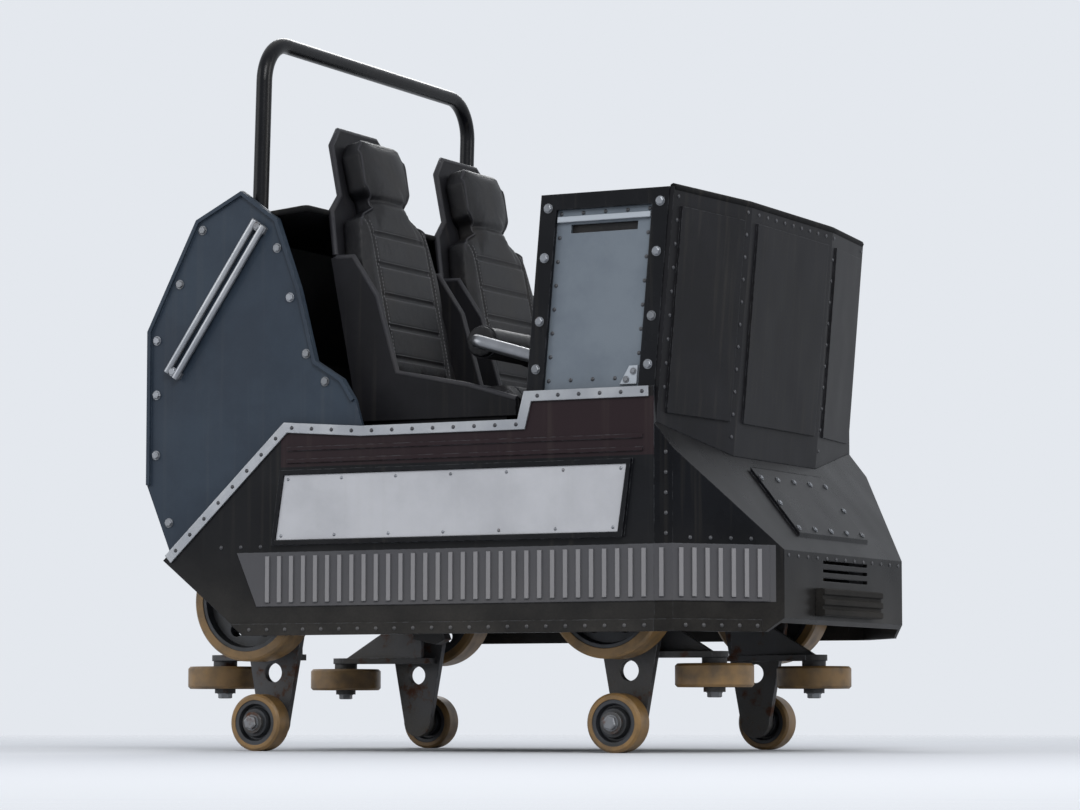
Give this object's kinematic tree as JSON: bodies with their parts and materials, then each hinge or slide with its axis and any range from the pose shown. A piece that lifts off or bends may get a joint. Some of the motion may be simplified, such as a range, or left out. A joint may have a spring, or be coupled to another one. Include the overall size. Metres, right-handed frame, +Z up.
{
  "type": "roller coaster car",
  "caption": "Lead car of a wooden roller coaster train with side-by-side bucket seats, lap bars, cowl, steering front axle and wheels above, beside and below the rail.",
  "frame": {"origin": "on the floor under the middle of the car's length and width", "axes": "+X forward, +Y to the car's left, +Z up"},
  "size_m": [1.82, 1.3, 1.9],
  "materials": {
    "body_black": "satin",
    "charcoal": "satin",
    "blue_grey": "matte",
    "cowl_grey": "satin",
    "board": "satin",
    "trim": "satin",
    "steel": "satin",
    "bumper_rubber": "matte",
    "vinyl": "satin",
    "wheel": "satin"
  },
  "bodies": {
    "root": {"chassis_frame": "body_black", "rear_axle": "steel", "floor_pan": "charcoal", "nose_shell": "body_black", "front_bumper": "bumper_rubber", "front_shield": "charcoal", "cowl_frame": "body_black", "seat_base": "charcoal", "rear_shell": "charcoal", "grab_hoop": "body_black", "lap_bar_brackets": "steel", "brake_fins": "trim", "rear_hitch": "steel", "side_panel_l": "body_black", "side_panel_r": "body_black", "sill_trim_l": "trim", "sill_trim_r": "trim", "name_board_l": "board", "name_board_r": "board", "cowl_panel_l": "cowl_grey", "cowl_panel_r": "cowl_grey", "wing_plate_l": "blue_grey", "wing_plate_r": "blue_grey", "wing_brace_l": "trim", "wing_brace_r": "trim", "seat_shell_l": "charcoal", "seat_shell_r": "charcoal", "seat_pad_l": "vinyl", "seat_pad_r": "vinyl", "back_pad_l": "vinyl", "back_pad_r": "vinyl", "wheel_carrier_rl": "steel", "wheel_carrier_rr": "steel"},
    "front_bogie": {"front_axle": "steel", "wheel_carrier_fl": "steel", "wheel_carrier_fr": "steel"},
    "lap_bar_left": {"lap_bar_l": "steel", "lap_pad_l": "vinyl"},
    "lap_bar_right": {"lap_bar_r": "steel", "lap_pad_r": "vinyl"},
    "chain_dog": {"chain_dog": "steel"},
    "running_wheel_rl": {"running_wheel_rl": "wheel"},
    "guide_wheel_rl": {"guide_wheel_rl": "wheel"},
    "up_stop_wheel_rl": {"up_stop_wheel_rl": "wheel"},
    "running_wheel_rr": {"running_wheel_rr": "wheel"},
    "guide_wheel_rr": {"guide_wheel_rr": "wheel"},
    "up_stop_wheel_rr": {"up_stop_wheel_rr": "wheel"},
    "running_wheel_fl": {"running_wheel_fl": "wheel"},
    "guide_wheel_fl": {"guide_wheel_fl": "wheel"},
    "up_stop_wheel_fl": {"up_stop_wheel_fl": "wheel"},
    "running_wheel_fr": {"running_wheel_fr": "wheel"},
    "guide_wheel_fr": {"guide_wheel_fr": "wheel"},
    "up_stop_wheel_fr": {"up_stop_wheel_fr": "wheel"}
  },
  "joints": [
    {"name": "bogie_steer", "type": "hinge", "parent": "root", "child": "front_bogie", "pos_m": [0.46, 0, 0.466], "axis": [0, 0, 1], "range_deg": [-10, 10]},
    {"name": "lap_bar_left_lift", "type": "hinge", "parent": "root", "child": "lap_bar_left", "pos_m": [0.41, 0.29, 0.7], "axis": [0, 1, 0], "range_deg": [0, 60]},
    {"name": "lap_bar_right_lift", "type": "hinge", "parent": "root", "child": "lap_bar_right", "pos_m": [0.41, -0.29, 0.7], "axis": [0, 1, 0], "range_deg": [0, 60]},
    {"name": "chain_dog_swing", "type": "hinge", "parent": "root", "child": "chain_dog", "pos_m": [-0.33, 0, 0.46], "axis": [0, 1, 0], "range_deg": [0, 40]},
    {"name": "running_wheel_rl_spin", "type": "hinge", "parent": "root", "child": "running_wheel_rl", "pos_m": [-0.59, 0.5, 0.395], "axis": [0, 1, 0], "continuous": true},
    {"name": "guide_wheel_rl_spin", "type": "hinge", "parent": "root", "child": "guide_wheel_rl", "pos_m": [-0.79, 0.325, 0.195], "axis": [0, 0, 1], "continuous": true},
    {"name": "up_stop_wheel_rl_spin", "type": "hinge", "parent": "root", "child": "up_stop_wheel_rl", "pos_m": [-0.59, 0.47, 0.075], "axis": [0, 1, 0], "continuous": true},
    {"name": "running_wheel_rr_spin", "type": "hinge", "parent": "root", "child": "running_wheel_rr", "pos_m": [-0.59, -0.5, 0.395], "axis": [0, 1, 0], "continuous": true},
    {"name": "guide_wheel_rr_spin", "type": "hinge", "parent": "root", "child": "guide_wheel_rr", "pos_m": [-0.79, -0.325, 0.195], "axis": [0, 0, 1], "continuous": true},
    {"name": "up_stop_wheel_rr_spin", "type": "hinge", "parent": "root", "child": "up_stop_wheel_rr", "pos_m": [-0.59, -0.47, 0.075], "axis": [0, 1, 0], "continuous": true},
    {"name": "running_wheel_fl_spin", "type": "hinge", "parent": "front_bogie", "child": "running_wheel_fl", "pos_m": [0.46, 0.5, 0.395], "axis": [0, 1, 0], "continuous": true},
    {"name": "guide_wheel_fl_spin", "type": "hinge", "parent": "front_bogie", "child": "guide_wheel_fl", "pos_m": [0.66, 0.325, 0.195], "axis": [0, 0, 1], "continuous": true},
    {"name": "up_stop_wheel_fl_spin", "type": "hinge", "parent": "front_bogie", "child": "up_stop_wheel_fl", "pos_m": [0.46, 0.47, 0.075], "axis": [0, 1, 0], "continuous": true},
    {"name": "running_wheel_fr_spin", "type": "hinge", "parent": "front_bogie", "child": "running_wheel_fr", "pos_m": [0.46, -0.5, 0.395], "axis": [0, 1, 0], "continuous": true},
    {"name": "guide_wheel_fr_spin", "type": "hinge", "parent": "front_bogie", "child": "guide_wheel_fr", "pos_m": [0.66, -0.325, 0.195], "axis": [0, 0, 1], "continuous": true},
    {"name": "up_stop_wheel_fr_spin", "type": "hinge", "parent": "front_bogie", "child": "up_stop_wheel_fr", "pos_m": [0.46, -0.47, 0.075], "axis": [0, 1, 0], "continuous": true}
  ]
}
